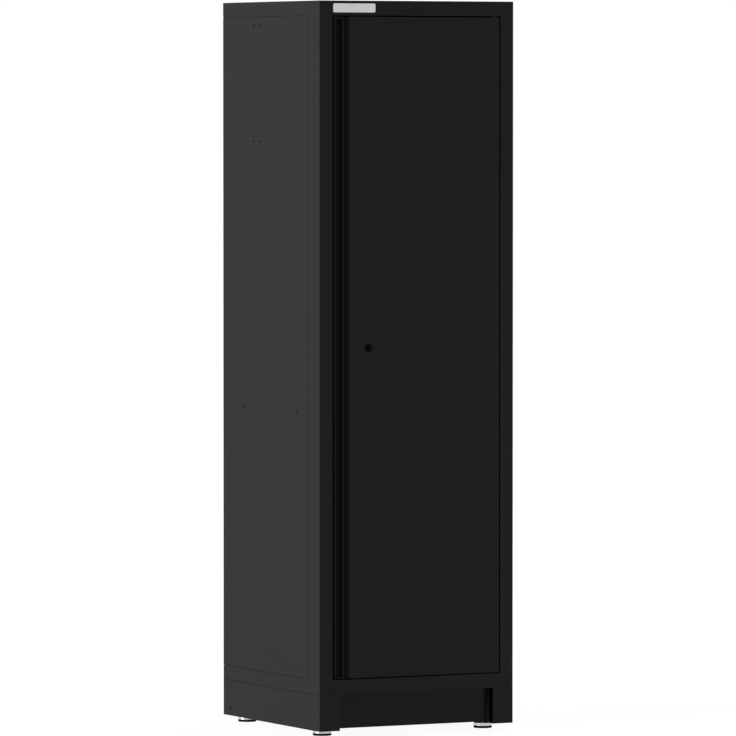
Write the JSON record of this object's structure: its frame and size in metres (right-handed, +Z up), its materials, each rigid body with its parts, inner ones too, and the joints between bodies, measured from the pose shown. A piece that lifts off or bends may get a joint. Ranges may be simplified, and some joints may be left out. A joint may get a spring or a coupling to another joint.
{
  "type": "tall storage cabinet",
  "caption": "Tall single-door steel storage cabinet with a full-height edge grip, rod lock, adjustable shelves, recessed plinth and levelling feet.",
  "frame": {"origin": "middle of the box on the floor, under the feet", "axes": "+X to the right of someone facing the door, -Y out of the front, +Z up"},
  "size_m": [0.6, 0.602, 2.014],
  "materials": {
    "black_coat": "satin black powder coat",
    "grip_black": "satin black, folded strip",
    "lock_black": "black",
    "rubber": "moulded black rubber",
    "nylon": "black nylon",
    "magnet": "black magnet holder",
    "bright_zinc": "bright zinc plate",
    "zinc": "zinc-plated steel"
  },
  "bodies": {
    "cabinet": {"left_front_post": "black_coat", "right_front_post": "black_coat", "top_front_rail": "black_coat", "bottom_front_rail": "black_coat", "top_panel": "black_coat", "bottom_panel": "black_coat", "left_side_panel": "black_coat", "right_side_panel": "black_coat", "back_panel": "black_coat", "plinth_left_side": "black_coat", "plinth_right_side": "black_coat", "plinth_rear_panel": "black_coat", "kick_panel": "black_coat", "plinth_bolts": "zinc", "plinth_nuts": "zinc", "foot_brackets": "black_coat", "front_left_shelf_standard": "black_coat", "front_right_shelf_standard": "black_coat", "rear_left_shelf_standard": "black_coat", "rear_right_shelf_standard": "black_coat", "shelf_clips": "zinc", "shelf_1": "black_coat", "shelf_2": "black_coat", "shelf_3": "black_coat", "shelf_4": "black_coat", "upper_pivot_bracket": "zinc", "lower_pivot_bracket": "zinc", "upper_pivot_pin": "zinc", "lower_pivot_pin": "zinc", "thrust_washer": "nylon", "door_magnets": "magnet", "door_bumpers": "rubber"},
    "door": {"door_outer_panel": "black_coat", "door_inner_panel": "black_coat", "grip_bar": "grip_black", "grip_top_cap": "grip_black", "grip_bottom_cap": "grip_black", "upper_pivot_bush": "nylon", "lower_pivot_bush": "nylon", "upper_pivot_stiffener": "zinc", "lower_pivot_stiffener": "zinc", "lock_housing": "lock_black", "lock_nut": "zinc", "upper_rod_guides": "nylon", "lower_rod_guides": "nylon"},
    "lock_core": {"lock_plug": "lock_black", "rod_cam": "zinc", "cam_screw": "zinc"},
    "upper_rod": {"upper_lock_rod": "zinc"},
    "lower_rod": {"lower_lock_rod": "zinc"},
    "front_left_foot": {"front_left_foot_stem": "bright_zinc", "front_left_foot_pad": "rubber"},
    "front_right_foot": {"front_right_foot_stem": "bright_zinc", "front_right_foot_pad": "rubber"},
    "rear_left_foot": {"rear_left_foot_stem": "bright_zinc", "rear_left_foot_pad": "rubber"},
    "rear_right_foot": {"rear_right_foot_stem": "bright_zinc", "rear_right_foot_pad": "rubber"}
  },
  "joints": [
    {"name": "door_swing", "type": "hinge", "parent": "cabinet", "child": "door", "pos_m": [0.247, -0.291, 1.066], "axis": [0, 0, 1], "range_deg": [0, 110]},
    {"name": "lock_turn", "type": "hinge", "parent": "door", "child": "lock_core", "pos_m": [-0.1504, -0.28, 1.065], "axis": [0, 1, 0], "range_deg": [0, 90]},
    {"name": "upper_rod_slide", "type": "slide", "parent": "door", "child": "upper_rod", "axis": [0, 0, 1], "range_m": [0, 0.0226]},
    {"name": "lower_rod_slide", "type": "slide", "parent": "door", "child": "lower_rod", "axis": [0, 0, -1], "range_m": [0, 0.0228]},
    {"name": "front_left_foot_screw", "type": "slide", "parent": "cabinet", "child": "front_left_foot", "axis": [0, 0, 1], "range_m": [-0.02, 0.012]},
    {"name": "front_right_foot_screw", "type": "slide", "parent": "cabinet", "child": "front_right_foot", "axis": [0, 0, 1], "range_m": [-0.02, 0.012]},
    {"name": "rear_left_foot_screw", "type": "slide", "parent": "cabinet", "child": "rear_left_foot", "axis": [0, 0, 1], "range_m": [-0.02, 0.012]},
    {"name": "rear_right_foot_screw", "type": "slide", "parent": "cabinet", "child": "rear_right_foot", "axis": [0, 0, 1], "range_m": [-0.02, 0.012]}
  ],
  "couplings": [
    {"joint": "lock_turn", "follows": "upper_rod_slide", "rad_per_m": 69.42},
    {"joint": "lower_rod_slide", "follows": "upper_rod_slide", "ratio": 1}
  ]
}
